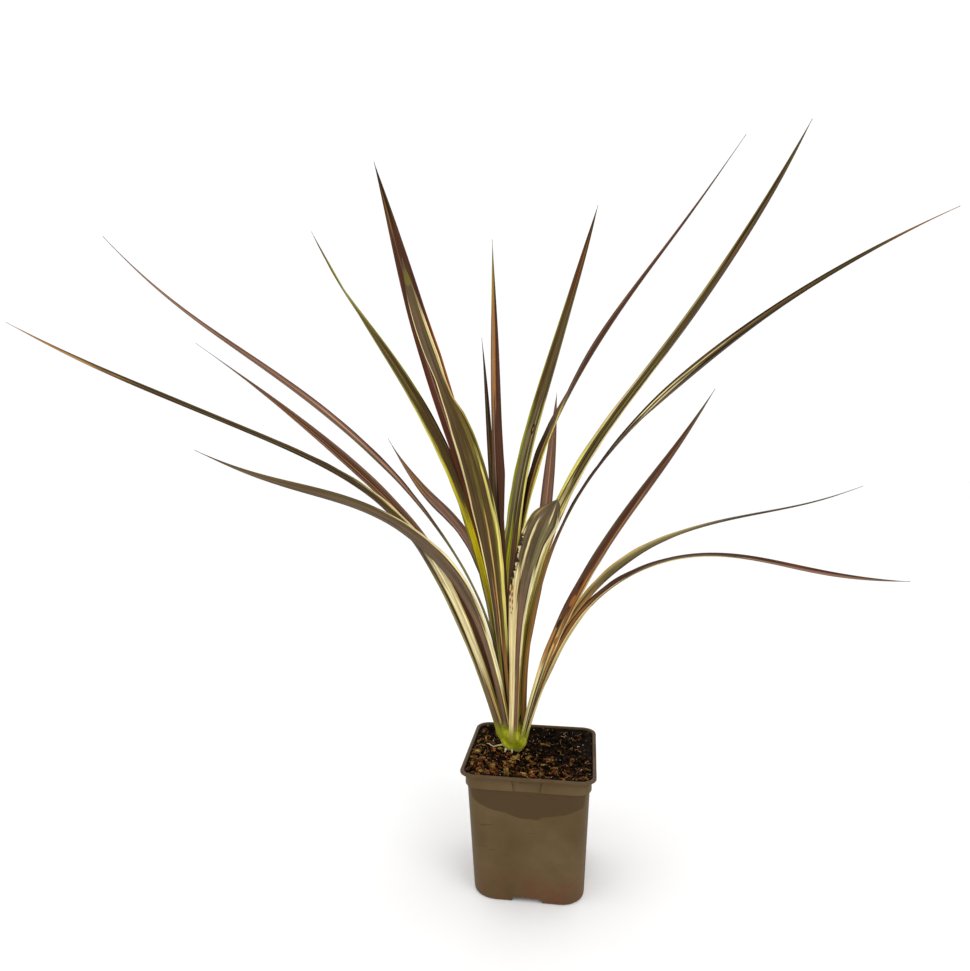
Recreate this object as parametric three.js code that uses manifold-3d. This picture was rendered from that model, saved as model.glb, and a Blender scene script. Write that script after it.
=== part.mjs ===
// A young cordyline with striped, strap-shaped leaves, growing in a square plastic nursery pot.
// Units are millimetres, +Z is up. The origin is the centre of the pot's base, on the ground,
// and the pot's sides run along X and Y. The side that faces -Y is the front.
import * as THREE from 'three';
import { mergeVertices } from 'three/addons/utils/BufferGeometryUtils.js';
import Module from 'manifold-3d';

const wasm = await Module();
wasm.setup();

// Colours: one for each piece, and three for the leaves
const POT_BROWN = 0x655440;
const PEAT = 0x241c15;
const LIME = 0x8f9a35;
const OLIVE = 0x5a4b2e;
const MAUVE = 0x6a463c;
const DARK = 0x432a20;

// Pot: a 9 cm square nursery pot
const POT_HEIGHT = 88;
const RIM_WIDTH = 90;
const RIM_CORNER = 10;
const RIM_THICK = 2;
const RIM_INNER_WIDTH = 83;
const RIM_INNER_CORNER = 8;
const RIM_SOFT = 0.7; // how far the rim's top edge is drawn in
const COLLAR_DROP = 10.5; // how far the collar under the rim reaches down
const COLLAR_PROUD = 1.2;
const BODY_TOP_WIDTH = 81.4;
const BASE_WIDTH = 74.6;
const BASE_CORNER = 16;
const WALL = 1.1;
const FLOOR = 2.4;
const HEEL = 1.2; // rounding of the edge between wall and floor
const COLLAR_GAP_WIDTH = 19; // the break in the collar at the middle of each side
const COLLAR_GAP_SLANT = 2; // how far each end of that break leans out towards the rim
const FOOT_ARCH = { width: 17, flare: 3, height: 3.1, depth: 3 }; // the notch under each side
const FOOT_PAD = { width: 23, depth: 5, height: 4.4 }; // the thick floor behind each notch
const DRAIN = { radius: 4, offset: 19, sides: 16 };
const OVERCUT = 3; // how far a cutting shape stands out past what it cuts

// Soil
const SOIL_LEVEL = 85;
const SOIL_GAP = 0.3;
const SOIL_WALL_GAP = 0.5;
const SOIL_RINGS = 9;
const BARK_CHIPS = 26;

// Crown: the short stem with its wrapped leaf bases, a little left of and behind the pot's centre
const STEM = { x: -13.5, y: 7.5 };
const CROWN_FOOT = 58;
const CROWN_NECK = 76; // where it starts to widen, under the soil
const CROWN_TOP = 148;
const CROWN_PROFILE = [
  [CROWN_FOOT, 4.6],
  [CROWN_NECK, 5.8],
  [84, 6.5],
  [95, 8.4],
  [104, 9.2],
  [115, 7],
  [130, 4.3],
  [CROWN_TOP, 2.2],
]; // height, radius
const CROWN_SPOKES = 24;
const CROWN_STEP = 2.8; // height of each ring where the wrapped leaf bases show
const SHEATH = { count: 3, step: 0.6, turn: 0.055, from: 84, to: 118, fade: 6 };

// Leaves
const LEAF_STEPS = 18;
const LEAF_SUBSTEPS = 10;
const LEAF_SEAT = 1.3; // the leaf's inner face stands this far off the crown's mean radius
const EDGE_THICK = 0.7;
const RIB_THICK = 1.2;
const ROOT_SHARE = 0.5; // width of the root as a share of the greatest width
const TIP_HALF_WIDTH = 0.6;
const ROOT_FOLD = 7; // degrees each half rises where the blade clasps the crown
const CLASP = 0.12; // share of the length over which it opens to its own fold

// One row for each leaf, from the left of the plant round to the right.
// side: where it leaves the crown, and heading: where it points, both in degrees from +X.
// base: height on the crown. lean: degrees from upright at equal steps from root to tip.
// sway: how many degrees the heading turns along the leaf. twist: roll of the blade about its
// own midline in degrees at equal steps. widest: where the blade is broadest, as a share of its
// length. taper: how full the outer part stays. fold: how far each half rises from flat.
const LEAVES = [
  { side: 207, heading: 192, base: 99, length: 467, lean: [16, 28, 62, 67, 61], sway: -4,
    twist: [-13, -34, -26, -39], width: 13.6, widest: 0.42, taper: 1.4, fold: 18, colour: OLIVE },
  { side: 195, heading: 202, base: 113, length: 433, lean: [0, 29, 46, 55, 42], sway: -13,
    twist: [-5, -6, -39, -11], width: 11.5, widest: 0.42, taper: 1.3, fold: 18, colour: MAUVE },
  { side: 168, heading: 168, base: 98, length: 411, lean: [9, 31, 50, 56, 59], sway: -2,
    twist: [4, 10, 17, -30], width: 13, widest: 0.42, taper: 1.4, fold: 18, colour: DARK },
  { side: 240, heading: 216, base: 107, length: 301, lean: [11, 22, 50, 73, 62], sway: -16,
    twist: [-20, -19, -34, -48], width: 14, widest: 0.42, taper: 1.4, fold: 16, colour: OLIVE },
  { side: 122, heading: 133, base: 99, length: 348, lean: [5, 26, 68, 67, 62], sway: -11,
    twist: [9, -15, 11, -50], width: 12, widest: 0.42, taper: 1.4, fold: 20, colour: MAUVE },
  { side: 160, heading: 153, base: 107, length: 412, lean: [2, 15, 30, 38, 29], sway: 12,
    twist: [0, 2, -2, -59], width: 13.6, widest: 0.42, taper: 1.5, fold: 16, colour: OLIVE },
  { side: 205, heading: 176, base: 122, length: 396, lean: [4, 11, 19, 16, 17], sway: -6,
    twist: [-29, 40, 70, 38], width: 15, widest: 0.42, taper: 2.1, fold: 18, colour: DARK },
  { side: 243, heading: 244, base: 116, length: 321, lean: [9, 12, 25, 42, 28], sway: 12,
    twist: [0, 12, -11, -16], width: 14.3, widest: 0.42, taper: 2.1, fold: 12, colour: OLIVE },
  { side: 118, heading: 112, base: 112, length: 287, lean: [8, 20, 18, 11, 16], sway: 4,
    twist: [-6, 0, -37, -35], width: 9, widest: 0.42, taper: 1.4, fold: 22, colour: DARK },
  { side: 253, heading: 254, base: 128, length: 307, lean: [5, 12, 11, 2, 10], sway: 13,
    twist: [4, -3, 14, -42], width: 11, widest: 0.42, taper: 1.5, fold: 30, colour: MAUVE },
  { side: 145, heading: 68, base: 127, length: 392, lean: [-3, 9, 25, 25, 22], sway: -16,
    twist: [-75, 5, 1, -19], width: 13.7, widest: 0.42, taper: 1.5, fold: 18, colour: OLIVE },
  { side: 104, heading: 22, base: 117, length: 446, lean: [0, 7, 27, 36, 34], sway: -18,
    twist: [-78, -10, 16, 0], width: 12, widest: 0.42, taper: 1.3, fold: 22, colour: DARK },
  { side: 80, heading: 80, base: 106, length: 263, lean: [16, 41, 17, 16, 13], sway: -7,
    twist: [0, 30, -4, -23], width: 12.6, widest: 0.42, taper: 1.9, fold: 20, colour: MAUVE },
  { side: 278, heading: 288, base: 97, length: 239, lean: [6, 11, 39, 55, 72], sway: -4,
    twist: [8, 0, 12, -20], width: 17, widest: 0.5, taper: 3.2, fold: 8, colour: OLIVE },
  { side: 296, heading: 10, base: 118, length: 447, lean: [0, 18, 36, 33, 26], sway: -11,
    twist: [74, 45, 37, 48], width: 13.1, widest: 0.42, taper: 1.5, fold: 18, colour: OLIVE },
  { side: 325, heading: 350, base: 110, length: 434, lean: [0, 17, 43, 56, 69], sway: -13,
    twist: [26, -10, 22, -9], width: 11.2, widest: 0.42, taper: 1.4, fold: 20, colour: DARK },
  { side: 320, heading: 330, base: 99, length: 275, lean: [16, 24, 32, 38, 34], sway: -7,
    twist: [-10, 8, 19, 31], width: 12.1, widest: 0.42, taper: 1.5, fold: 20, colour: MAUVE },
  { side: 30, heading: 28, base: 100, length: 362, lean: [13, 39, 71, 82, 72], sway: -7,
    twist: [2, -7, 11, 13], width: 12, widest: 0.42, taper: 1.4, fold: 18, colour: OLIVE },
  { side: 354, heading: 350, base: 97, length: 307, lean: [15, 29, 63, 97, 86], sway: -14,
    twist: [4, -24, 6, -60], width: 12, widest: 0.42, taper: 1.4, fold: 20, colour: MAUVE },
];

const radians = THREE.MathUtils.degToRad;
const { clamp, lerp } = THREE.MathUtils;

// A repeatable random number from 0 to 1
function makeRandom(seed) {
  let state = seed;
  return () => {
    state = (state * 1664525 + 1013904223) % 4294967296;
    return state / 4294967296;
  };
}

// A smooth curve through values spaced equally from t = 0 to t = 1
function smoothThrough(values, t) {
  const last = values.length - 1;
  const place = clamp(t * last, 0, last);
  const i = Math.min(Math.floor(place), last - 1);
  const u = place - i;
  const step = values[i + 1] - values[i];
  const slopeIn = i === 0 ? step : (values[i + 1] - values[i - 1]) / 2;
  const slopeOut = i === last - 1 ? step : (values[i + 2] - values[i]) / 2;
  const u2 = u * u;
  const u3 = u2 * u;
  return (
    (2 * u3 - 3 * u2 + 1) * values[i] +
    (u3 - 2 * u2 + u) * slopeIn +
    (3 * u2 - 2 * u3) * values[i + 1] +
    (u3 - u2) * slopeOut
  );
}

// The value at x on straight lines through [x, value] pairs
function along(pairs, x) {
  for (let i = 1; i < pairs.length; i++) {
    const [x0, v0] = pairs[i - 1];
    const [x1, v1] = pairs[i];
    if (x <= x1) return lerp(v0, v1, clamp((x - x0) / (x1 - x0), 0, 1));
  }
  return pairs[pairs.length - 1][1];
}

// A closed body skinned over rings with equal counts of points, with a fan at each end
function skin(rings) {
  const count = rings[0].length;
  const points = rings.flat();
  const faces = [];
  for (let r = 0; r < rings.length - 1; r++) {
    for (let i = 0; i < count; i++) {
      const a = r * count + i;
      const b = r * count + ((i + 1) % count);
      faces.push(a, b, b + count, a, b + count, a + count);
    }
  }
  const centreOf = (ring) =>
    ring.reduce((sum, p) => sum.add(p), new THREE.Vector3()).divideScalar(ring.length);
  const first = points.push(centreOf(rings[0])) - 1;
  const last = points.push(centreOf(rings[rings.length - 1])) - 1;
  const end = (rings.length - 1) * count;
  for (let i = 0; i < count; i++) {
    const next = (i + 1) % count;
    faces.push(first, next, i);
    faces.push(last, end + i, end + next);
  }
  return toGeometry(points, faces);
}

function toGeometry(points, faces) {
  const geometry = new THREE.BufferGeometry().setFromPoints(points);
  geometry.setIndex(faces);
  geometry.computeVertexNormals();
  return geometry;
}

function toSolid(geometry) {
  const bare = geometry.clone();
  bare.deleteAttribute('normal');
  bare.deleteAttribute('uv');
  const merged = mergeVertices(bare, 1e-4);
  return new wasm.Manifold(
    new wasm.Mesh({
      numProp: 3,
      vertProperties: new Float32Array(merged.attributes.position.array),
      triVerts: new Uint32Array(merged.index.array),
    }),
  );
}

function fromSolid(solid) {
  const { numProp, vertProperties, triVerts } = solid.getMesh();
  const points = [];
  for (let i = 0; i < vertProperties.length; i += numProp) {
    points.push(new THREE.Vector3(vertProperties[i], vertProperties[i + 1], vertProperties[i + 2]));
  }
  return toGeometry(points, Array.from(triVerts));
}

function node(name, geometry, colour, roughness) {
  const material = new THREE.MeshStandardMaterial({ color: colour, roughness, metalness: 0 });
  const mesh = new THREE.Mesh(geometry, material);
  mesh.name = name;
  return mesh;
}

// A square ring with rounded corners, anticlockwise seen from above
function squareRing(width, corner, z, cornerSteps = 5) {
  const centre = width / 2 - corner;
  const ring = [];
  for (let quarter = 0; quarter < 4; quarter++) {
    for (let i = 0; i <= cornerSteps; i++) {
      const angle = (Math.PI / 2) * (quarter + i / cornerSteps);
      const sx = quarter === 0 || quarter === 3 ? 1 : -1;
      const sy = quarter < 2 ? 1 : -1;
      ring.push(
        new THREE.Vector3(
          sx * centre + corner * Math.cos(angle),
          sy * centre + corner * Math.sin(angle),
          z,
        ),
      );
    }
  }
  return ring;
}

// Outside width and corner radius of the plain pot body at a height
function bodyWidth(z) {
  return lerp(BASE_WIDTH, BODY_TOP_WIDTH, z / (POT_HEIGHT - COLLAR_DROP));
}

function bodyCorner(z) {
  return lerp(BASE_CORNER, RIM_CORNER, z / (POT_HEIGHT - COLLAR_DROP));
}

// A block across the middle of the front side
function frontBlock(width, y0, y1, z0, z1) {
  const box = new THREE.BoxGeometry(width, y1 - y0, z1 - z0);
  box.translate(0, (y0 + y1) / 2, (z0 + z1) / 2);
  return box;
}

// The same shape against each of the pot's four sides
function onFourSides(geometry) {
  return [0, 1, 2, 3].map((turn) => toSolid(geometry.clone().rotateZ((turn * Math.PI) / 2)));
}

// A block with slanting ends across the middle of the front side
function frontWedge(lowWidth, highWidth, y0, y1, z0, z1) {
  const outline = new THREE.Shape([
    new THREE.Vector2(-lowWidth / 2, z0),
    new THREE.Vector2(lowWidth / 2, z0),
    new THREE.Vector2(highWidth / 2, z1),
    new THREE.Vector2(-highWidth / 2, z1),
  ]);
  const wedge = new THREE.ExtrudeGeometry(outline, { depth: y1 - y0, bevelEnabled: false });
  wedge.rotateX(Math.PI / 2);
  wedge.translate(0, y1, 0);
  return wedge;
}

function makePot() {
  const collarFoot = POT_HEIGHT - COLLAR_DROP;
  const rimFoot = POT_HEIGHT - RIM_THICK;
  const collarWidth = BODY_TOP_WIDTH + 2 * COLLAR_PROUD;
  const inside = (z) => squareRing(bodyWidth(z) - 2 * WALL, bodyCorner(z) - WALL, z);
  const outer = [
    squareRing(BASE_WIDTH - 2 * HEEL, BASE_CORNER - HEEL, 0),
    squareRing(BASE_WIDTH, BASE_CORNER, HEEL),
    squareRing(BODY_TOP_WIDTH, RIM_CORNER, collarFoot),
    squareRing(collarWidth, RIM_CORNER, collarFoot + COLLAR_PROUD / 2),
    squareRing(collarWidth, RIM_CORNER, rimFoot),
    squareRing(RIM_WIDTH, RIM_CORNER, rimFoot + RIM_SOFT / 2),
    squareRing(RIM_WIDTH, RIM_CORNER, POT_HEIGHT - RIM_SOFT),
    squareRing(RIM_WIDTH - 2 * RIM_SOFT, RIM_CORNER - RIM_SOFT, POT_HEIGHT),
  ];
  const inner = [
    squareRing(RIM_INNER_WIDTH, RIM_INNER_CORNER, POT_HEIGHT),
    squareRing(BODY_TOP_WIDTH - 2 * WALL, RIM_INNER_CORNER, rimFoot),
    inside(collarFoot),
    inside(FLOOR),
  ];
  const front = -BASE_WIDTH / 2;
  const padBlock = frontBlock(FOOT_PAD.width, front + WALL / 2, front + FOOT_PAD.depth,
    FLOOR / 2, FOOT_PAD.height);
  const archCut = frontWedge(FOOT_ARCH.width + FOOT_ARCH.flare, FOOT_ARCH.width,
    front - OVERCUT, front + FOOT_ARCH.depth, -OVERCUT, FOOT_ARCH.height);
  const gapCut = frontWedge(
    COLLAR_GAP_WIDTH - COLLAR_GAP_SLANT, COLLAR_GAP_WIDTH + COLLAR_GAP_SLANT,
    -collarWidth / 2 - OVERCUT, -BODY_TOP_WIDTH / 2, collarFoot - OVERCUT, rimFoot);
  const drain = new THREE.CylinderGeometry(
    DRAIN.radius, DRAIN.radius, FLOOR + 2 * OVERCUT, DRAIN.sides);
  drain.rotateX(Math.PI / 2);
  drain.translate(DRAIN.offset, DRAIN.offset, FLOOR / 2);

  let pot = toSolid(skin([...outer, ...inner]));
  for (const piece of onFourSides(padBlock)) pot = pot.add(piece);
  for (const piece of onFourSides(archCut)) pot = pot.subtract(piece);
  for (const piece of onFourSides(gapCut)) pot = pot.subtract(piece);
  for (const piece of onFourSides(drain)) pot = pot.subtract(piece);
  return node('pot', fromSolid(pot), POT_BROWN, 0.55);
}

// Height of the crumbly surface: low waves of a few sizes, lower beside the wall
function soilHeight(x, y) {
  const share = Math.max(Math.abs(x), Math.abs(y)) / (BODY_TOP_WIDTH / 2);
  const waves =
    1.1 * Math.sin(0.21 * x + 0.6) * Math.cos(0.17 * y - 0.4) +
    0.8 * Math.sin(0.53 * x - 0.31 * y + 1.3) +
    0.6 * Math.cos(0.83 * y + 0.47 * x) +
    0.4 * Math.sin(0.97 * x + 0.9) * Math.sin(0.89 * y - 0.7);
  return SOIL_LEVEL + waves * (1 - 0.5 * share) - 1.5 * share ** 6;
}

// A lump with flat faces, such as a bark chip
function makeChip(random) {
  const chip = new THREE.OctahedronGeometry(1, 0);
  const [long, broad, thick] = [2.2 + 2.4 * random(), 1.6 + 1.4 * random(), 1.3 + 0.9 * random()];
  chip.scale(long, broad, thick);
  chip.rotateX((random() - 0.5) * 0.9);
  chip.rotateZ(random() * Math.PI);
  return chip;
}

function makeSoil() {
  const inset = WALL + SOIL_WALL_GAP;
  const wallRing = (z) => squareRing(bodyWidth(z) - 2 * inset, bodyCorner(z) - inset, z, 10);
  const edge = wallRing(SOIL_LEVEL - COLLAR_DROP);
  const rings = [wallRing(FLOOR + SOIL_GAP), edge];
  for (let r = SOIL_RINGS; r >= 1; r--) {
    const share = r / SOIL_RINGS;
    const shrink = share - (r === SOIL_RINGS ? 0.012 : 0);
    rings.push(
      edge.map((p) => {
        const [x, y] = [p.x * shrink, p.y * shrink];
        return new THREE.Vector3(x, y, soilHeight(x, y));
      }),
    );
  }
  let soil = toSolid(skin(rings));

  const random = makeRandom(7);
  const reach = BODY_TOP_WIDTH / 2 - 7;
  for (let i = 0; i < BARK_CHIPS; i++) {
    const x = (2 * random() - 1) * reach;
    const y = (2 * random() - 1) * reach;
    const chip = makeChip(random);
    if (Math.hypot(x - STEM.x, y - STEM.y) < 14) continue;
    chip.translate(x, y, soilHeight(x, y) - 0.6);
    soil = soil.add(toSolid(chip));
  }

  const hole = (z) => crownRing(z, SOIL_GAP + SHEATH.step);
  const levels = [CROWN_FOOT - SOIL_GAP, CROWN_NECK, SOIL_LEVEL, SOIL_LEVEL + 2 * OVERCUT];
  soil = soil.subtract(toSolid(skin(levels.map(hole))));
  const front = -BASE_WIDTH / 2;
  const padRoom = frontBlock(FOOT_PAD.width + 2 * SOIL_GAP, front, front + FOOT_PAD.depth + SOIL_GAP,
    0, FOOT_PAD.height + SOIL_GAP);
  for (const piece of onFourSides(padRoom)) soil = soil.subtract(piece);
  return node('soil', fromSolid(soil), PEAT, 0.95);
}

// A round ring about the stem, the given height and distance outside the crown's mean radius
function crownRing(z, outside) {
  const ring = [];
  for (let i = 0; i < CROWN_SPOKES; i++) {
    const share = i / CROWN_SPOKES;
    const angle = share * 2 * Math.PI;
    const extra = outside ?? sheathRelief(share, z);
    const radius = along(CROWN_PROFILE, z) + extra;
    ring.push(new THREE.Vector3(
      STEM.x + radius * Math.cos(angle), STEM.y + radius * Math.sin(angle), z));
  }
  return ring;
}

// Wrapped leaf bases: each overlaps the next with a slanting edge
function sheathRelief(share, z) {
  const fade = clamp((z - SHEATH.from) / SHEATH.fade, 0, 1) * clamp((SHEATH.to - z) / SHEATH.fade, 0, 1);
  const turn = share * SHEATH.count + z * SHEATH.turn;
  return SHEATH.step * fade * (turn - Math.floor(turn));
}

function makeCrown() {
  const levels = [CROWN_FOOT, CROWN_NECK];
  for (let z = SHEATH.from; z < SHEATH.to + CROWN_STEP; z += CROWN_STEP) levels.push(z);
  levels.push(lerp(SHEATH.to, CROWN_TOP, 0.5), CROWN_TOP);
  return node('crown', skin(levels.map((z) => crownRing(z))), LIME, 0.5);
}

// Share of the greatest width at s along the blade
function bladeWidth(leaf, s) {
  if (s < leaf.widest) {
    return lerp(ROOT_SHARE, 1, THREE.MathUtils.smoothstep(s, 0, leaf.widest));
  }
  return 1 - ((s - leaf.widest) / (1 - leaf.widest)) ** leaf.taper;
}

// Direction of the midline at s, with the blade's sideways and upper-face directions
function bladeFrame(leaf, s) {
  const lean = radians(smoothThrough(leaf.lean, s));
  const heading = radians(leaf.heading + leaf.sway * s);
  const twist = radians(smoothThrough(leaf.twist, s));
  const forward = new THREE.Vector3(
    Math.sin(lean) * Math.cos(heading), Math.sin(lean) * Math.sin(heading), Math.cos(lean));
  const level = new THREE.Vector3(Math.sin(heading), -Math.cos(heading), 0);
  const over = new THREE.Vector3().crossVectors(level, forward);
  const across = level.clone().multiplyScalar(Math.cos(twist)).addScaledVector(over, Math.sin(twist));
  const face = over.clone().multiplyScalar(Math.cos(twist)).addScaledVector(level, -Math.sin(twist));
  return { forward, across, face };
}

// Points down the middle of the blade, from root to tip
function bladeMidline(leaf) {
  const side = radians(leaf.side);
  const radius = along(CROWN_PROFILE, leaf.base) + LEAF_SEAT;
  const point = new THREE.Vector3(
    STEM.x + radius * Math.cos(side), STEM.y + radius * Math.sin(side), leaf.base);
  const pieces = LEAF_STEPS * LEAF_SUBSTEPS;
  const points = [point.clone()];
  for (let i = 0; i < pieces; i++) {
    const { forward } = bladeFrame(leaf, (i + 0.5) / pieces);
    point.addScaledVector(forward, leaf.length / pieces);
    if ((i + 1) % LEAF_SUBSTEPS === 0) points.push(point.clone());
  }
  return points;
}

// Ten points round the blade: five across its upper face, then five back along its underside
function bladeSection(leaf, s, centre) {
  const { across, face } = bladeFrame(leaf, s);
  const fold = radians(lerp(ROOT_FOLD, leaf.fold, THREE.MathUtils.smoothstep(s, 0, CLASP)));
  const half = Math.max((leaf.width / 2) * bladeWidth(leaf, s), TIP_HALF_WIDTH);
  const places = [-1, -0.5, 0, 0.5, 1];
  const at = (u, drop) =>
    centre.clone()
      .addScaledVector(across, u * half * Math.cos(fold))
      .addScaledVector(face, Math.abs(u) * half * Math.sin(fold) - drop);
  const thickness = (u) => lerp(Math.min(RIB_THICK, EDGE_THICK + 0.1 * half), EDGE_THICK, Math.abs(u));
  const upper = places.map((u) => at(u, 0));
  const under = places.map((u) => at(u, thickness(u))).reverse();
  return [...upper, ...under];
}

// The blade is split into triangles the same way on its upper face and its underside
function makeBlade(leaf) {
  const midline = bladeMidline(leaf);
  const rings = midline.map((centre, i) => bladeSection(leaf, i / LEAF_STEPS, centre));
  const count = rings[0].length;
  const half = count / 2;
  const points = rings.flat();
  const faces = [];
  for (let r = 0; r < rings.length - 1; r++) {
    for (let i = 0; i < count; i++) {
      const a = r * count + i;
      const b = r * count + ((i + 1) % count);
      if (i < half) faces.push(a, b + count, a + count, a, b, b + count);
      else faces.push(a, b, a + count, b, b + count, a + count);
    }
  }
  const end = (rings.length - 1) * count;
  for (let i = 0; i < half - 1; i++) {
    const [a, b, c, d] = [i, i + 1, count - 2 - i, count - 1 - i];
    faces.push(a, c, b, a, d, c);
    faces.push(end + a, end + b, end + c, end + a, end + c, end + d);
  }
  return toGeometry(points, faces);
}

function makeLeaves() {
  return LEAVES.map((leaf, i) => {
    const name = `leaf_${String(i + 1).padStart(2, '0')}`;
    return node(name, makeBlade(leaf), leaf.colour, 0.45);
  });
}

const plant = new THREE.Group();
plant.add(makePot(), makeSoil(), makeCrown(), ...makeLeaves());

export default plant;
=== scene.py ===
import itertools
import math
import random
from collections import namedtuple

import bpy
import numpy as np
from mathutils import Matrix, Vector, noise


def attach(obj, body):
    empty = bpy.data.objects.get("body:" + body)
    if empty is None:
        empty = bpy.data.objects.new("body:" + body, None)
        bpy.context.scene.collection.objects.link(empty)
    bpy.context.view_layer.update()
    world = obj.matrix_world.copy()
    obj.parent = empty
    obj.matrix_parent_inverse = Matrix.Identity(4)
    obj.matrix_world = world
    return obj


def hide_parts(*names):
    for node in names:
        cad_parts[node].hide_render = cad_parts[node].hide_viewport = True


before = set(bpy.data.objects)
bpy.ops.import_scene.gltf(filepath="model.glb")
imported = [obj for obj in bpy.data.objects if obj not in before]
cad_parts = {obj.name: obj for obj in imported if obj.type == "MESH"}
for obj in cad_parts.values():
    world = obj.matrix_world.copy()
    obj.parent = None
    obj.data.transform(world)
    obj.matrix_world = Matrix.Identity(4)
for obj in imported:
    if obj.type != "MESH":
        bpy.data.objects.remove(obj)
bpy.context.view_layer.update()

# A young cordyline with striped, strap-shaped leaves, growing in a square plastic nursery pot.
# Sizes below are in millimetres and angles in degrees, in the frame of the CAD model.
MM = 0.001

# Studio
CAMERA_AZIMUTH = 8.3
CAMERA_ELEVATION = 3.9
CAMERA_DISTANCE = 495
CAMERA_TARGET = (-32.8, -4.8, 275.1)
CAMERA_LENS = 26.62
LAMP_SIZE = 900
LAMP_TARGET = (0, 0, 200)
LAMPS = {"key": ((800, -900, 1100), 4), "fill": ((-900, -700, 700), 1.5)}  # place and power
WORLD_STRENGTH = 1.03
STUDIO_RADIUS = 6000

# Pot
POT_HEIGHT = 88
RIM_WIDTH = 90
RIM_CORNER = 10
RIM_FOOT = POT_HEIGHT - 2
RIM_INNER_WIDTH = 85.4
RIM_INNER_CORNER = 8.4
INNER_TOP_WIDTH = 79.4
COLLAR_DROP = 10.5
COLLAR_FOOT = POT_HEIGHT - COLLAR_DROP
COLLAR_PROUD = 1.2
BODY_TOP_WIDTH = 81.4
BODY_RINGS = (8, 20, 34, 48, 62, 72)
BASE_WIDTH = 74.6
BASE_CORNER = 16
CORNER_STEPS = 8
WALL = 1.1
FLOOR = 4.6
HEEL = 1.2
BREAK_WIDTH = 17  # the break in the collar, and the notch under it, at the middle of each side
BREAK_SLANT = 2
BREAK_EDGE = 0.35
NOTCH_HEIGHT = 3.1
NOTCH_DEPTH = 7
NOTCH_FLARE = 1.5
DRAIN_RADIUS = 4
DRAIN_OFFSET = 19
DRAIN_SIDES = 32
# The crescent is a painted shadow of the collar, on the front face only.
CRESCENT_MIDDLE = 3  # the dark crescent under the front collar: its middle, lowest height and curve
CRESCENT_FOOT = 59
CRESCENT_CURVE = 0.0079

# Soil
SOIL_LEVEL = 85
SOIL_GAP = 0.3
SOIL_LIFT = 0.9  # how much the crumbs raise the surface
SOIL_LEDGE = 86.35  # where the soil steps out into the wider rim
SOIL_RINGS = 60
SOIL_SIDE_STEPS = 30
LUMP_FLATS = 5
LUMP_FLAT_AT = 0.62  # how far from a lump's middle its flat sides are, where 1 is the ball
LUMP_PUSH = 0.45
LUMP_TILT = 0.6
STEM_ROOM = 8  # how far from the stem's middle the lumps stay
CORNER_ROOM = 5
FIBRES = 30
TRAIL_STEPS = 8  # along a fibre or a root
FIBRE_RADIUS = 0.1

# Crown
STEM = (-13.5, 7.5)
CROWN_PROFILE = [
    (58, 4.6), (76, 5.8), (84, 6.5), (95, 8.4), (104, 9.2), (115, 7), (130, 4.3), (148, 2.2),
]
CROWN_FOOT = 60
CROWN_OPEN = 84  # where the crown comes out of the soil
CROWN_TOP = 148
CROWN_SPOKES = 120
CROWN_BULGE = 1.1
CROWN_BULGE_TOP = 112
SHEATH_COUNT = 3
SHEATH_STEP = 0.9
SHEATH_STEP_TOP = 118
SHEATH_TURN = 0.055
ROOTS = [(216, 20, -42, 0.8), (228, 11.2, 10, 1.6), (264, 10.8, 5, 1.1)]  # angle, reach, bend, radius

# Leaves
BLADE_STEPS = 120
BLADE_SUBSTEPS = 2
BLADE_COLUMNS = 17
SHEATH_RINGS = 7
SHEATH_RING_HEIGHT = 2.2
SHEATH_SINK = 1.2
SHEATH_FOLD = 38
SHEATH_FLARE = 1.25
LEAF_SEAT = 1.3
ROOT_SHARE = 0.5
ROOT_FOLD = 7
CLASP = 0.12
TIP_HALF_WIDTH = 0.16
EDGE_THICK = 0.3
RIB_THICK = 0.9
RIB_ROUND = 0.1
RIPPLE = 0.03  # as a share of the half width
RIPPLE_LENGTH = 5.5
VEIN_SPACING = 1.2
STRIPE_SOFT = 0.012
BAND_SOFT = 0.04
GREEN_FULL = 96  # the green foot of each leaf, by height
GREEN_GONE = 109

# Colours in sRGB from 0 to 255
OLIVE = (74, 57, 30)
MOSS = (98, 88, 38)
UMBER = (84, 70, 46)
KHAKI = (106, 97, 66)
SAGE = (142, 136, 88)
MAUVE = (92, 66, 50)
TAUPE = (92, 75, 58)
ROSE = (116, 86, 70)
WINE = (68, 40, 30)
RUSSET = (84, 38, 18)
DARK = (36, 22, 8)
TAWNY = (144, 99, 54)
RUST = (146, 90, 40)
CREAM = (214, 195, 140)
PALE = (214, 203, 154)
STRAW = (206, 194, 104)
SAND = (180, 148, 88)
YELLOW = (220, 203, 10)
PEAR = (136, 130, 36)
LIME = (152, 154, 34)
PINK = (156, 118, 98)
POT_DARK = (79, 61, 33)
POT_MIDDLE = (89, 71, 43)
POT_LIGHT = (100, 81, 56)
POT_SHADE = (68, 51, 27)
POT_DIRT = (98, 60, 40)
POT_SCUFF = (58, 42, 26)
RIM_HIGHLIGHT = (112, 90, 66)
RIM_DARK = (66, 49, 30)
RIM_RIGHT_DARK = (52, 32, 24)
CROWN_DARK = (118, 120, 3)
CROWN_MIDDLE = (146, 148, 8)
CROWN_LIGHT = (186, 190, 60)
CROWN_PALE = (196, 190, 130)

# A leaf's shape, on the CAD model's course. side is the angle round the stem and base the height
# where it starts, and sway is how far its heading turns along it. lean, twist and fill, which
# multiplies the width, are given at equal steps from root to tip. Each of edges is (share along the
# leaf, how far out the edge at the stripes' start stands, the same for the other edge), where 1 is
# even. widest is the share along the leaf where it is broadest.
Leaf = namedtuple("Leaf", "side heading base length lean sway twist width taper fold fill edges widest",
                  defaults=[((0, 1, 1),), 0.42])
WIDE_FOOT = ((0.02, 1.5, 1.5), (0.14, 1.5, 1.5), (0.24, 1, 1))

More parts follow.
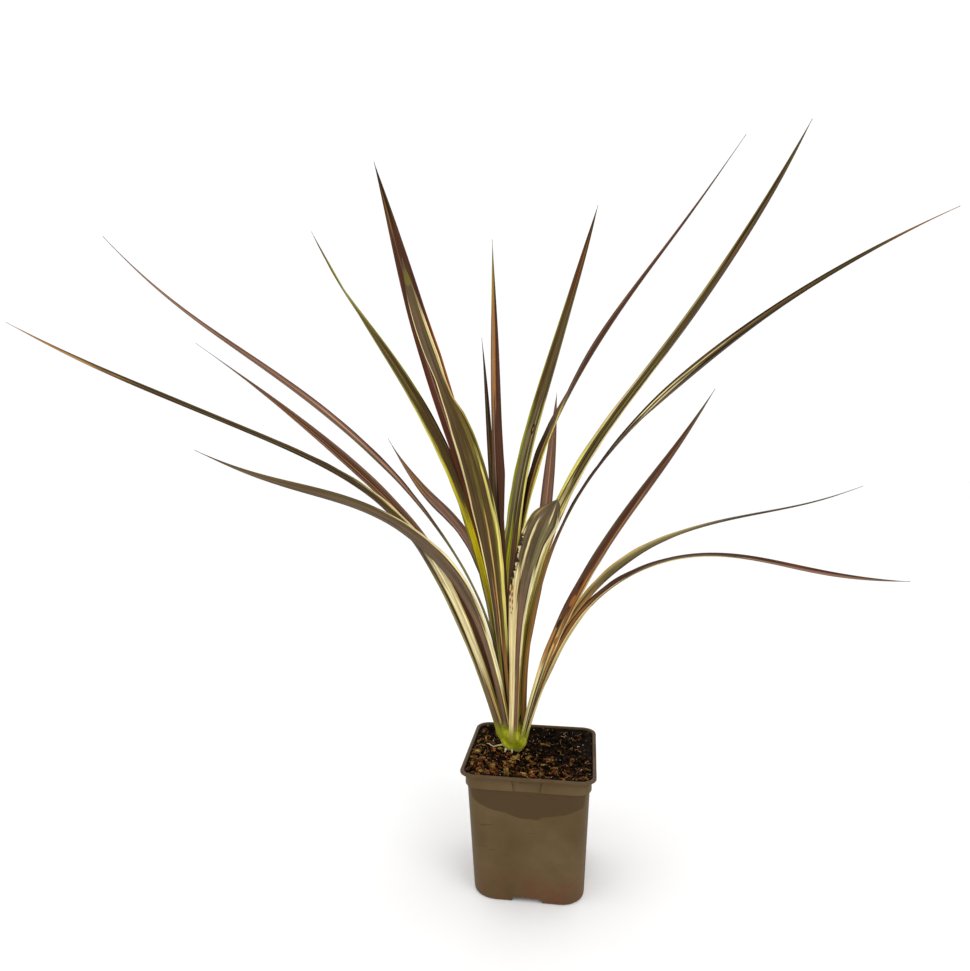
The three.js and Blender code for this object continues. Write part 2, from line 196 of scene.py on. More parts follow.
LEAVES = [
    Leaf(207, 192, 99, 467, [16, 28, 62, 67, 61], -4, [-58, -62, -33, -29, -39, -52],
         13.6, 1.4, 18, [1.2, 1.1, 0.95, 0.78, 1, 1.2]),
    Leaf(195, 202, 113, 433, [0, 29, 46, 55, 42], -13, [-50, -10, -24, -46, -42, -39],
         11.5, 1.3, 18, [1.1, 0.82, 0.82, 0.76, 0.82, 0.95],
         edges=((0.06, 1, 1), (0.16, 0.55, 0.55), (0.3, 0.45, 0.45), (0.36, 0.6, 0.6), (0.45, 1, 1))),
    Leaf(168, 168, 98, 411, [9, 31, 50, 56, 59], -2, [8, 19, 14, 29, 17, -24],
         13, 1.4, 18, [1, 1.05, 0.88, 0.93, 0.82, 0.6]),
    Leaf(240, 216, 107, 301, [11, 22, 50, 73, 62], -16, [-30, -21, -33, -35, -50, -41],
         14, 1.4, 16, [1.05, 1, 1.05, 1, 1.05, 1]),
    Leaf(122, 133, 99, 348, [5, 26, 68, 67, 62], -11, [8, -12, -11, 17, 1, -50],
         12, 1.4, 20, [1, 1, 1, 1.1, 1.05, 1]),
    Leaf(160, 153, 107, 412, [2, 15, 30, 38, 29], 12, [5, 16, 10, 21, -2, -84],
         13.6, 1.5, 16, [1, 1, 1, 1.1, 1.28, 1.25],
         edges=((0.2, 1, 1), (0.34, 1.35, 1), (0.5, 1.2, 1), (0.62, 1, 1))),
    Leaf(205, 176, 122, 396, [4, 11, 19, 16, 17], -6, [-29, 14, 46, 64, 65, 43],
         15, 2.1, 18, [1, 1, 0.95, 1.05, 1.2, 1.2],
         edges=((0.5, 1, 1.1), (0.63, 0.95, 1.3), (0.72, 1, 1.12), (0.85, 1, 1))),
    Leaf(243, 244, 116, 321, [9, 12, 25, 42, 28], 12, [-5, 9, 2, -8, -2, -33],
         14.3, 2.1, 12, [1, 1, 1.05, 1.05, 1.1, 2],
         edges=((0.3, 1.1, 1.1), (0.45, 1.2, 1.25), (0.64, 1.15, 1.2), (0.69, 1.05, 1.1),
                (0.73, 0.6, 1), (0.77, 0.68, 0.78), (0.82, 0.95, 0.95), (1, 1, 1))),
    Leaf(118, 112, 112, 287, [8, 20, 18, 11, 16], 4, [-6, 1, -4, -29, -30, -27],
         9, 1.4, 22, [1, 1, 1, 1.1, 1.3, 1.35]),
    Leaf(253, 254, 128, 307, [5, 12, 11, 2, 10], 13, [4, -3, -4, 14, -3, -42],
         11, 1.5, 30, [1, 1, 1.05, 1, 1.1, 1.05],
         edges=((0.3, 0.4, 1), (0.42, 0.5, 1), (0.52, 1, 1))),
    Leaf(145, 68, 127, 392, [-3, 9, 25, 25, 22], -16, [-75, -22, 6, -2, -12, -33],
         13.7, 1.5, 18, [1, 1.05, 1, 1, 1.05, 1.4],
         edges=((0.1, 1.3, 1), (0.22, 1.6, 1), (0.3, 1, 1))),
    Leaf(104, 22, 117, 446, [0, 7, 27, 36, 34], -18, [-63, 0, -17, 25, 10, 10],
         12, 1.3, 22, [1, 1, 1.2, 1.2, 1, 1]),
    Leaf(80, 80, 106, 263, [16, 41, 17, 16, 13], -7, [2, 25, 27, 3, -14, -23],
         12.6, 1.9, 20, [1, 1, 1, 1, 1.15, 1.15]),
    Leaf(278, 288, 97, 239, [6, 11, 39, 55, 72], -4, [4, -20, -14, 23, 24, -10],
         17, 5, 8, [1, 0.9, 1, 1.1, 1.15, 1.1],
         edges=((0.2, 0.7, 1), (0.35, 0.6, 1), (0.6, 0.62, 1.08), (0.72, 0.68, 1.1), (0.82, 1, 1)),
         widest=0.5),
    Leaf(296, 10, 118, 447, [0, 18, 36, 33, 26], -11, [76, 61, 42, 37, 43, 58],
         13.1, 1.5, 18, [1, 1.1, 1.05, 1, 1.2, 1.6]),
    Leaf(325, 350, 110, 434, [0, 17, 43, 56, 69], -13, [29, 6, -15, 30, 22, 23],
         11.2, 1.4, 20, [1, 0.95, 0.58, 1, 1.18, 1.25]),
    Leaf(320, 330, 99, 275, [16, 24, 32, 38, 34], -7, [-9, 5, 10, 16, 30, 34],
         12.1, 1.5, 20, [1.35, 1.3, 1.05, 1, 1, 1]),
    Leaf(30, 28, 100, 362, [13, 39, 71, 82, 72], -7, [3, -2, -12, -1, 3, 0],
         12, 1.4, 18, [1, 1, 0.9, 0.64, 0.62, 1], WIDE_FOOT),
    Leaf(354, 350, 97, 307, [15, 29, 63, 97, 86], -14, [-2, -39, -20, 0, -23, -71],
         12, 1.4, 20, [1, 1.05, 0.95, 0.85, 1, 1.05], WIDE_FOOT),
]


# A leaf's colours. Each of bands is (where it ends along the leaf, its stripes), from the root out,
# and each stripe is (where it ends across the leaf, colour), from one edge at 0 to the other at 1.
# A spot is (place across, place along, half width, half length, colour). burnt is the span along
# the leaf where the edge at 1 is scorched.
Look = namedtuple("Look", "slot tip bands spots burnt", defaults=[(), None])
LOOKS = [
    Look("leaf_olive", TAWNY, [
        (0.1, (0.15, MOSS), (0.34, SAND), (0.44, OLIVE), (0.74, TAUPE), (1, MOSS)),
        (0.28, (0.08, SAND), (0.47, PALE), (0.52, SAND), (0.72, DARK), (0.86, MOSS), (1, SAGE)),
        (0.44, (0.1, CREAM), (0.45, OLIVE), (1, DARK)),
        (0.84, (0.14, OLIVE), (0.24, DARK), (0.34, UMBER), (0.45, DARK), (1, OLIVE)),
        (1, (0.2, UMBER), (0.34, TAWNY), (0.42, SAND), (0.55, TAWNY), (1, OLIVE))]),
    Look("leaf_mauve", TAUPE, [
        (0.16, (0.3, MOSS), (1, OLIVE)),
        (0.3, (0.3, SAGE), (1, KHAKI)),
        (0.38, (0.3, OLIVE), (1, UMBER)),
        (0.62, (0.08, WINE), (0.22, ROSE), (0.32, PINK), (0.42, ROSE), (0.7, UMBER), (0.8, ROSE),
               (1, MAUVE)),
        (1, (0.1, MAUVE), (0.24, ROSE), (0.34, PINK), (0.44, MAUVE), (0.8, ROSE), (1, MAUVE))]),
    Look("leaf_dark", TAUPE, [
        (0.26, (0.4, WINE), (1, MAUVE)),
        (1, (0.26, ROSE), (0.44, WINE), (0.53, TAWNY), (0.66, WINE), (0.85, MAUVE), (1, ROSE))]),
    Look("leaf_olive", UMBER, [
        (0.1, (0.16, MOSS), (0.26, SAND), (0.34, OLIVE), (0.7, TAUPE), (1, OLIVE)),
        (0.23, (0.28, PALE), (0.32, SAND), (0.36, OLIVE), (0.62, TAUPE), (0.68, TAWNY), (1, MAUVE)),
        (0.3, (0.12, PALE), (0.16, SAND), (0.22, OLIVE), (0.5, TAUPE), (0.56, TAWNY), (1, MAUVE)),
        (0.46, (0.1, PALE), (0.16, OLIVE), (0.6, TAUPE), (0.9, MAUVE), (1, OLIVE)),
        (0.6, (0.06, CREAM), (0.5, TAUPE), (1, OLIVE)),
        (1, (0.3, UMBER), (0.5, TAUPE), (1, OLIVE))]),
    Look("leaf_mauve", DARK, [
        (0.3, (0.14, WINE), (0.32, SAND), (1, MAUVE)),
        (0.64, (0.12, WINE), (0.22, MAUVE), (0.34, PINK), (0.42, MAUVE), (0.8, ROSE), (1, MAUVE)),
        (1, (0.2, MAUVE), (0.42, TAWNY), (0.5, DARK), (0.6, MAUVE), (0.7, TAWNY), (1, MAUVE))]),
    Look("leaf_olive", UMBER, [
        (0.2, (0.3, CREAM), (0.8, PEAR), (1, OLIVE)),
        (0.36, (0.12, PEAR), (0.6, YELLOW), (0.66, OLIVE), (1, DARK)),
        (0.48, (0.1, STRAW), (0.28, YELLOW), (0.38, MOSS), (0.74, OLIVE), (1, DARK)),
        (0.6, (0.13, STRAW), (0.22, PEAR), (0.9, OLIVE), (1, DARK)),
        (0.78, (0.12, PEAR), (0.45, OLIVE), (0.6, MOSS), (0.9, OLIVE), (1, PEAR)),
        (1, (0.25, PEAR), (0.5, OLIVE), (0.75, MOSS), (1, PEAR))]),
    Look("leaf_dark", DARK, [
        (0.7, (0.1, RUSSET), (0.3, WINE), (0.36, ROSE), (0.8, WINE), (0.96, RUSSET), (1, RUST)),
        (0.88, (0.36, WINE), (0.4, ROSE), (0.7, WINE), (0.75, OLIVE), (1, WINE)),
        (1, (0.3, OLIVE), (0.42, TAWNY), (0.55, WINE), (0.8, DARK), (1, OLIVE))]),
    Look("leaf_olive", UMBER, [
        (0.15, (0.14, DARK), (0.4, TAWNY), (0.58, DARK), (0.95, PEAR), (1, CREAM)),
        (0.3, (0.16, STRAW), (0.26, MOSS), (0.4, OLIVE), (0.46, SAND), (0.54, WINE), (0.66, TAWNY),
              (0.95, OLIVE), (1, CREAM)),
        (0.46, (0.13, STRAW), (0.22, MOSS), (0.4, OLIVE), (0.45, SAND), (0.93, OLIVE), (1, CREAM)),
        (0.58, (0.1, OLIVE), (0.18, STRAW), (0.4, OLIVE), (0.52, MOSS), (0.92, OLIVE), (1, CREAM)),
        (0.7, (0.06, PEAR), (0.16, OLIVE), (0.32, MOSS), (0.92, OLIVE), (1, CREAM)),
        (0.78, (0.1, SAND), (0.9, OLIVE), (1, CREAM)),
        (0.93, (0.16, CREAM), (0.2, OLIVE), (0.5, UMBER), (0.84, TAUPE), (0.93, UMBER), (1, CREAM)),
        (1, (0.5, UMBER), (1, TAUPE))],
        spots=[(0.5, 0.968, 0.6, 0.016, PEAR)]),
    Look("leaf_dark", WINE, [
        (0.6, (0.4, OLIVE), (1, DARK)),
        (1, (0.4, DARK), (0.6, OLIVE), (1, DARK))]),
    Look("leaf_mauve", MOSS, [
        (0.5, (0.45, WINE), (0.7, DARK), (1, OLIVE)),
        (0.66, (0.56, WINE), (0.66, PINK), (0.8, MAUVE), (1, UMBER)),
        (0.86, (0.36, WINE), (0.6, TAWNY), (0.66, PINK), (0.9, TAWNY), (1, MAUVE)),
        (1, (0.4, DARK), (0.75, TAWNY), (1, PEAR))]),
    Look("leaf_olive", DARK, [
        (0.3, (0.12, SAGE), (0.28, MOSS), (0.45, LIME), (0.82, MAUVE), (1, PEAR)),
        (0.52, (0.12, LIME), (0.42, KHAKI), (0.5, OLIVE), (0.6, SAGE), (0.84, UMBER), (1, STRAW)),
        (0.78, (0.07, PEAR), (0.36, OLIVE), (0.56, UMBER), (0.66, MOSS), (0.93, OLIVE), (1, KHAKI)),
        (1, (0.25, OLIVE), (0.5, RUSSET), (0.56, TAWNY), (1, OLIVE))],
        spots=[(0.5, 0.49, 0.13, 0.013, DARK), (0.5, 0.49, 0.05, 0.006, TAWNY)]),
    Look("leaf_dark", TAUPE, [
        (0.3, (0.3, DARK), (0.37, TAWNY), (0.6, STRAW), (0.86, YELLOW), (1, STRAW)),
        (0.46, (0.3, DARK), (0.37, TAWNY), (0.55, MOSS), (0.7, STRAW), (0.9, YELLOW), (1, STRAW)),
        (1, (0.2, MAUVE), (0.6, TAUPE), (0.85, WINE), (1, MAUVE))]),
    Look("leaf_mauve", ROSE, [
        (0.3, (0.4, OLIVE), (0.75, MAUVE), (1, TAWNY)),
        (1, (0.1, MAUVE), (0.46, ROSE), (0.52, PINK), (0.86, ROSE), (1, MAUVE))]),
    Look("leaf_olive", OLIVE, [
        (0.22, (0.1, MOSS), (0.2, SAND), (0.25, DARK), (0.56, ROSE), (0.62, OLIVE), (1, CREAM)),
        (0.42, (0.25, PALE), (0.29, DARK), (0.6, ROSE), (0.66, OLIVE), (1, CREAM)),
        (0.58, (0.23, PALE), (0.27, DARK), (0.64, TAUPE), (0.72, OLIVE), (1, CREAM)),
        (0.74, (0.1, PALE), (0.18, OLIVE), (0.45, KHAKI), (0.66, UMBER), (0.71, CREAM), (0.9, UMBER),
               (1, CREAM)),
        (0.86, (0.1, PALE), (0.18, OLIVE), (0.45, KHAKI), (0.66, UMBER), (0.71, CREAM), (0.9, UMBER),
               (0.97, OLIVE), (1, STRAW)),
        (1, (0.28, OLIVE), (0.34, CREAM), (0.6, UMBER), (0.84, TAUPE), (0.9, SAND), (1, MOSS))],
        spots=[(0.97, 0.52, 0.04, 0.016, DARK), (0.93, 0.5, 0.05, 0.014, RUST),
               (0.98, 0.48, 0.03, 0.012, OLIVE), (0.9, 0.475, 0.04, 0.01, RUST),
               (0.96, 0.455, 0.04, 0.008, RUST), (0.87, 0.45, 0.03, 0.01, RUST),
               (0.95, 0.43, 0.025, 0.006, TAWNY), (0.85, 0.425, 0.025, 0.006, RUST),
               (0.9, 0.41, 0.02, 0.005, RUST)],
        burnt=(0.52, 0.74)),
    Look("leaf_olive", OLIVE, [
        (0.16, (0.3, TAWNY), (0.6, PEAR), (1, OLIVE)),
        (0.34, (0.12, RUST), (0.2, OLIVE), (0.56, STRAW), (0.62, DARK), (0.8, CREAM), (1, PEAR)),
        (0.46, (0.3, CREAM), (0.5, OLIVE), (0.56, DARK), (0.68, MOSS), (0.74, DARK), (0.86, UMBER),
               (1, STRAW)),
        (0.6, (0.25, CREAM), (0.5, OLIVE), (0.56, DARK), (0.7, MOSS), (0.76, DARK), (0.9, UMBER),
              (1, CREAM)),
        (0.76, (0.45, DARK), (0.6, OLIVE), (0.7, UMBER), (0.9, OLIVE), (1, SAGE)),
        (1, (0.45, DARK), (0.6, OLIVE), (0.7, UMBER), (0.9, DARK), (1, MOSS))]),
    Look("leaf_dark", TAWNY, [
        (0.3, (0.4, SAND), (0.5, RUST), (0.8, TAWNY), (1, MOSS)),
        (0.52, (0.5, RUSSET), (0.8, WINE), (1, DARK)),
        (0.62, (0.58, OLIVE), (0.68, PALE), (0.78, DARK), (0.87, CREAM), (1, DARK)),
        (0.7, (0.66, DARK), (0.76, OLIVE), (0.84, CREAM), (1, OLIVE)),
        (1, (0.62, DARK), (0.8, OLIVE), (0.86, UMBER), (1, DARK))]),
    Look("leaf_mauve", TAUPE, [
        (0.2, (0.45, SAND), (0.56, DARK), (0.68, SAGE), (0.76, DARK), (1, CREAM)),
        (0.33, (0.3, CREAM), (0.4, DARK), (0.56, RUST), (0.7, SAND), (0.82, OLIVE), (1, TAWNY)),
        (0.5, (0.4, SAND), (0.52, DARK), (0.62, RUST), (1, WINE)),
        (0.72, (0.1, PINK), (0.46, WINE), (0.55, TAWNY), (0.92, WINE), (1, UMBER)),
        (1, (0.1, ROSE), (0.5, WINE), (0.66, MAUVE), (0.92, WINE), (1, UMBER))],
        spots=[(0.7, 0.4, 0.1, 0.02, RUST), (0.85, 0.33, 0.08, 0.016, DARK), (0.6, 0.28, 0.1, 0.014, RUST),
               (0.75, 0.45, 0.06, 0.02, DARK)]),
    Look("leaf_olive", TAUPE, [
        (0.3, (0.22, SAND), (0.34, OLIVE), (0.5, TAWNY), (1, SAND)),
        (0.6, (0.14, SAND), (0.28, SAGE), (0.5, KHAKI), (0.7, MOSS), (1, OLIVE)),
        (1, (0.4, UMBER), (1, DARK))]),
    Look("leaf_mauve", TAUPE, [
        (0.36, (0.12, WINE), (0.32, TAWNY), (0.38, DARK), (1, CREAM)),
        (0.72, (0.36, WINE), (0.44, DARK), (0.7, CREAM), (1, UMBER)),
        (1, (0.36, WINE), (0.6, ROSE), (0.8, PINK), (1, ROSE))]),
]


def lerp(a, b, t):
    return a + (b - a) * t


def clamp(value, low=0, high=1):
    return max(low, min(high, value))


def smoothstep(t):
    t = clamp(t)
    return t * t * (3 - 2 * t)


def smooth_through(values, t):
    """A smooth curve through values spaced equally from t = 0 to t = 1."""
    last = len(values) - 1
    place = clamp(t * last, 0, last)
    i = min(int(place), last - 1)
    u = place - i
    step = values[i + 1] - values[i]
    slope_in = step if i == 0 else (values[i + 1] - values[i - 1]) / 2
    slope_out = step if i == last - 1 else (values[i + 2] - values[i]) / 2
    square = 3 * step - 2 * slope_in - slope_out
    cube = slope_in + slope_out - 2 * step
    return values[i] + u * (slope_in + u * (square + u * cube))


def along_rows(rows, x, column=1):
    """The value at x, in one column of rows that each start with their place."""
    return float(np.interp(x, [row[0] for row in rows], [row[column] for row in rows]))


def polar(radius, angle, z):
    """The point at a radius and an angle round the Z axis."""
    return Vector((radius * math.cos(angle), radius * math.sin(angle), z))


def circle(radius, count, z):
    return [polar(radius, math.tau * i / count, z) for i in range(count)]


def quarter_turn(side):
    return Matrix.Rotation(side * math.pi / 2, 3, "Z")


def square_ring(z, width, corner, places):
    """A square ring with rounded corners. Each of places, along one side, is (x, the distance from
    there to the opposite side)."""
    ring = []
    centre = Vector((width / 2 - corner, corner - width / 2, 0))
    for side in range(4):
        turn = quarter_turn(side)
        ring += [turn @ Vector((x, -across / 2, z)) for x, across in places]
        for i in range(1, CORNER_STEPS):
            ring.append(turn @ (centre + polar(corner, math.pi / 2 * (i / CORNER_STEPS - 1), z)))
    return ring


def skin_rings(rings):
    """The points and faces of a closed body skinned over rings, with a fan at each end."""
    count = len(rings[0])
    points = [p for ring in rings for p in ring]
    faces = []
    for r in range(len(rings) - 1):
        for i in range(count):
            a, b = r * count + i, r * count + (i + 1) % count
            faces.append((a, b, b + count, a + count))
    for ring, start, flip in ((rings[0], 0, True), (rings[-1], (len(rings) - 1) * count, False)):
        centre = len(points)
        points.append(sum(ring, Vector()) / count)
        for i in range(count):
            a, b = start + i, start + (i + 1) % count
            faces.append((centre, b, a) if flip else (centre, a, b))
    return points, faces


def tube(path, radii, sides=8):
    """A tube with closed ends along a path."""
    rings = []
    side = Vector((0.3, 0.2, 1)).normalized()
    for i, point in enumerate(path):
        ahead = (path[min(i + 1, len(path) - 1)] - path[max(i - 1, 0)]).normalized()
        side = (side - ahead * side.dot(ahead)).normalized()
        other = ahead.cross(side)
        rings.append([point + (side * math.cos(a) + other * math.sin(a)) * radii[i]
                      for a in np.linspace(0, math.tau, sides, endpoint=False)])
    return skin_rings(rings)


def join(bodies):
    """The points and faces of several bodies as one."""
    points, faces = [], []
    for body_points, body_faces in bodies:
        base = len(points)
        points += body_points
        faces += [tuple(base + i for i in face) for face in body_faces]
    return points, faces


def make_piece(name, body, materials, face_materials=None, uvs=None, sharp=None):
    """A mesh object from points and faces. uvs holds one pair for each corner of each face."""
    points, faces = body
    mesh = bpy.data.meshes.new(name)
    mesh.from_pydata([p * MM for p in points], [], faces)
    for material in materials:
        mesh.materials.append(material)
    if face_materials:
        mesh.polygons.foreach_set("material_index", face_materials)
    if uvs:
        mesh.uv_layers.new(name="UVMap").data.foreach_set("uv", np.ravel(uvs))
    mesh.shade_smooth()
    if sharp:
        mesh.set_sharp_from_angle(angle=math.radians(sharp))
    mesh.update()
    piece = bpy.data.objects.new(name, mesh)
    bpy.context.scene.collection.objects.link(piece)
    return piece


def finish_piece(piece, slot, *nodes):
    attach(piece, "root")
    if nodes:
        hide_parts(*nodes)


def linear(colour):
    """An sRGB colour from 0 to 255 as the linear values that a shader takes."""
    channels = [c / 255 for c in colour]
    return tuple(c / 12.92 if c <= 0.04045 else ((c + 0.055) / 1.055) ** 2.4 for c in channels) + (1.0,)


class Shader:
    """Builds the nodes of one material, with lengths in millimetres."""

    def __init__(self, name):
        self.material = bpy.data.materials.new(name)
        self.material.use_nodes = True
        self.nodes = self.material.node_tree.nodes
        self.links = self.material.node_tree.links
        self.surface = self.nodes["Principled BSDF"]

    def put(self, socket, value):
        """Gives an input a number, a colour or another node's output."""
        if isinstance(value, bpy.types.NodeSocket):
            self.links.new(value, socket)
        else:
            socket.default_value = value

    def node(self, kind, *values, **settings):
        """A new node, with values put in its first inputs."""
        node = self.nodes.new("ShaderNode" + kind)
        for name, setting in settings.items():
            setattr(node, name, setting)
        for socket, value in zip(node.inputs, values):
            self.put(socket, value)
        return node

    def place(self):
        """The place of the shaded point in the model."""
        return self.scaled(self.node("TexCoord").outputs["Object"], (1 / MM, 1 / MM, 1 / MM))

    def separate(self, vector):
        return self.node("SeparateXYZ", vector).outputs

    def combine(self, x, y, z):
        return self.node("CombineXYZ", x, y, z).outputs[0]

    def scaled(self, vector, scale):
        return self.node("VectorMath", vector, scale, operation="MULTIPLY").outputs[0]

    def math(self, operation, a, b=0):
        return self.node("Math", a, b, operation=operation).outputs[0]

    def minus(self, a, b):
        return self.math("SUBTRACT", a, b)

    def plus(self, total, *others):
        for other in others:
            total = self.math("ADD", total, other)
        return total

    def times(self, product, *others):
        for other in others:
            product = self.math("MULTIPLY", product, other)
        return product

    def span(self, value, low, high, to_low=0, to_high=1, smooth=True):
        """value eased from low..high to to_low..to_high, held at the ends."""
        easing = "SMOOTHSTEP" if smooth else "LINEAR"
        return self.node("MapRange", value, low, high, to_low, to_high,
                         interpolation_type=easing).outputs[0]

    def noise(self, vector, scale=1, detail=3, roughness=0.5):
        w = 0
        return self.node("TexNoise", vector, w, scale, detail, roughness).outputs["Fac"]

    def ramp(self, factor, stops):
        node = self.node("ValToRGB", factor)
        elements = node.color_ramp.elements
        elements.remove(elements[-1])
        elements[0].position, elements[0].color = stops[0][0], linear(stops[0][1])
        for place, colour in stops[1:]:
            elements.new(place).color = linear(colour)
        return node.outputs[0]

    def mix(self, factor, a, b, blend="MIX"):
        node = self.node("Mix", factor, data_type="RGBA", blend_type=blend)
        for socket, value in zip(node.inputs[6:8], (a, b)):
            self.put(socket, linear(value) if isinstance(value, tuple) else value)
        return node.outputs[2]

    def shade(self, colour, amount):
        """colour made lighter or darker by a number, where 1 leaves it as it is."""
        return self.mix(1, colour, self.combine(amount, amount, amount), "MULTIPLY")

    def finish(self, colour, roughness, height, strength, distance, **settings):
        """Sets the surface, bumped by height over a distance, with a strength from 0 to 1."""
        self.put(self.surface.inputs["Base Color"], colour)
        self.put(self.surface.inputs["Roughness"], roughness)
        for name, value in settings.items():
            self.surface.inputs[name.replace("_", " ")].default_value = value
        bump = self.node("Bump", strength, distance * MM)
        self.put(bump.inputs["Height"], height)
        self.put(self.surface.inputs["Normal"], bump.outputs[0])
        return self.material


def stripe_stops(stripes):
    """Ramp stops for stripes with soft edges."""
    stops = [(0, stripes[0][1])]
    for (end, colour), (_, following) in zip(stripes, stripes[1:]):
        stops += [(end - STRIPE_SOFT, colour), (end + STRIPE_SOFT, following)]
    return stops


def striped(s, x, share, bands):
    """The stripes across the leaf, each band of them easing into the next along it."""
    colour = s.ramp(x, stripe_stops(bands[0][1:]))
    for (end, *_), (_, *stripes) in zip(bands, bands[1:]):
        following = s.ramp(x, stripe_stops(stripes))
        colour = s.mix(s.span(share, end - BAND_SOFT, end + BAND_SOFT), colour, following)
    return colour


def streaked(s, colour, strands, streak, open_blade):
    """Fine streaks, broad ones and long patches, each a little lighter or darker, and some rust."""
    fine = s.times(s.span(streak, 0.28, 0.72, -0.24, 0.24, smooth=False), open_blade)
    colour = s.shade(colour, s.plus(fine, 1))
    broad = strands(1.1, 0.014, 2, 0.6)
    colour = s.shade(colour, s.span(broad, 0.32, 0.68, 0.62, 1.5, smooth=False))
    patch = strands(0.22, 0.05, 4, 0.6)
    colour = s.shade(colour, s.span(patch, 0.3, 0.7, 0.86, 1.14, smooth=False))
    rusty = s.span(strands(0.5, 0.03, 3), 0.56, 0.76, 0, 0.25)
    return s.mix(rusty, colour, RUST)


def spotted(s, colour, x, share, spots):
    """Oval spots with soft edges."""
    for across, along, half_width, half_length, spot_colour in spots:
        dx = s.math("DIVIDE", s.minus(x, across), half_width)
        dy = s.math("DIVIDE", s.minus(share, along), half_length)
        reach = s.plus(s.times(dx, dx), s.times(dy, dy))
        colour = s.mix(s.span(reach, 0.5, 1, 1, 0), colour, spot_colour)
    return colour


def scorched(s, colour, strands, x, share, start, end):
    """A ragged dark margin on the edge at x = 1, from start to end along the leaf."""
    ragged = s.times(s.minus(strands(0.1, 0.25, 1.5), 0.5), 0.4)
    beside = s.span(s.plus(x, ragged), 0.91, 0.93)
    along = s.times(s.span(share, start, start + 0.02), s.span(share, end - 0.02, end, 1, 0))
    return s.mix(s.times(beside, along), colour, DARK)


def leaf_material(name, shape, colours):
    """In the UV map x goes across the leaf. y goes from 0 at the root to 1 at the tip on the upper
    face, and from 2 at the root to 1 at the tip on the under side."""
    s = Shader(name)
    x, y, _ = s.separate(s.node("TexCoord").outputs["UV"])
    share = s.minus(1, s.math("ABSOLUTE", s.minus(y, 1)))
    under = s.math("GREATER_THAN", y, 1)
    across = s.times(x, shape.width)
    along = s.times(share, shape.length)

    def strands(per_mm_across, per_mm_along, detail=2, roughness=0.5):
        """Noise drawn out along the leaf, different on each."""
        place = s.combine(s.times(across, per_mm_across), s.times(along, per_mm_along),
                          shape.side * 0.37)
        return s.noise(place, 1, detail, roughness)

    open_blade = s.span(share, 0.04, 0.32, 0.25, 1)
    drift = s.times(s.minus(strands(0.08, 0.018), 0.5), 0.07)
    fray = s.times(s.minus(strands(2.2, 0.05), 0.5), open_blade)
    frayed_x = s.plus(x, drift, s.times(fray, 0.05))
    frayed_share = s.plus(share, s.times(fray, 0.22))
    streak = strands(3.1, 0.022, 3, 0.6)

    colour = striped(s, frayed_x, frayed_share, colours.bands)
    colour = streaked(s, colour, strands, streak, open_blade)
    colour = spotted(s, colour, x, share, colours.spots)
    if colours.burnt:
        colour = scorched(s, colour, strands, x, share, *colours.burnt)
    frayed_z = s.plus(s.separate(s.place())[2], s.times(fray, 20))
    colour = s.mix(s.span(frayed_z, GREEN_FULL, GREEN_GONE, 0.92, 0), colour, LIME)
    colour = s.mix(s.span(share, 0.88, 0.99, 0, 0.8), colour, colours.tip)
    colour = s.mix(s.times(under, 0.04), colour, KHAKI)

    veins = s.math("SINE", s.times(x, math.tau * shape.width / VEIN_SPACING))
    height = s.times(s.plus(s.times(veins, 0.25), streak), open_blade)
    gloss = s.span(streak, 0.3, 0.7, 0.42, 0.58)
    return s.finish(colour, gloss, height, 0.25, 0.15, Specular_IOR_Level=0.09,
                    Specular_Tint=(1, 0.8, 0.5, 1))


def blade_frame(shape, t):
    """Direction of the midline at t, with the blade's sideways and upper-face directions."""
    lean = math.radians(smooth_through(shape.lean, t))
    heading = math.radians(shape.heading + shape.sway * t)
    twist = math.radians(smooth_through(shape.twist, t))
    forward = polar(math.sin(lean), heading, math.cos(lean))
    level = Vector((math.sin(heading), -math.cos(heading), 0))
    over = level.cross(forward)
    across = level * math.cos(twist) + over * math.sin(twist)
    face = over * math.cos(twist) - level * math.sin(twist)
    return forward, across, face


def round_stem(radius, angle, height):
    """A point at a radius and an angle round the middle of the stem."""
    return Vector((*STEM, 0)) + polar(radius, math.radians(angle), height)


def crown_point(angle, height, outside):
    """A point beside the crown, the given distance outside its mean radius."""
    return round_stem(along_rows(CROWN_PROFILE, height) + outside, angle, height)


def blade_midline(shape):
    """Points along the blade, found by going a small step at a time the way that it heads."""
    point = crown_point(shape.side, shape.base, LEAF_SEAT)
    steps = BLADE_STEPS * BLADE_SUBSTEPS
    points = [point.copy()]
    for i in range(steps):
        point += blade_frame(shape, (i + 0.5) / steps)[0] * (shape.length / steps)
        if (i + 1) % BLADE_SUBSTEPS == 0:
            points.append(point.copy())
    return points


def blade_halves(shape, t):
    """Widths of the two halves of the blade at t along it."""
    if t < shape.widest:
        share = lerp(ROOT_SHARE, 1, smoothstep(t / shape.widest))
    else:
        share = 1 - ((t - shape.widest) / (1 - shape.widest)) ** shape.taper
    half = shape.width / 2 * share * smooth_through(shape.fill, t)
    return [max(half * along_rows(shape.edges, t, column), TIP_HALF_WIDTH) for column in (1, 2)]


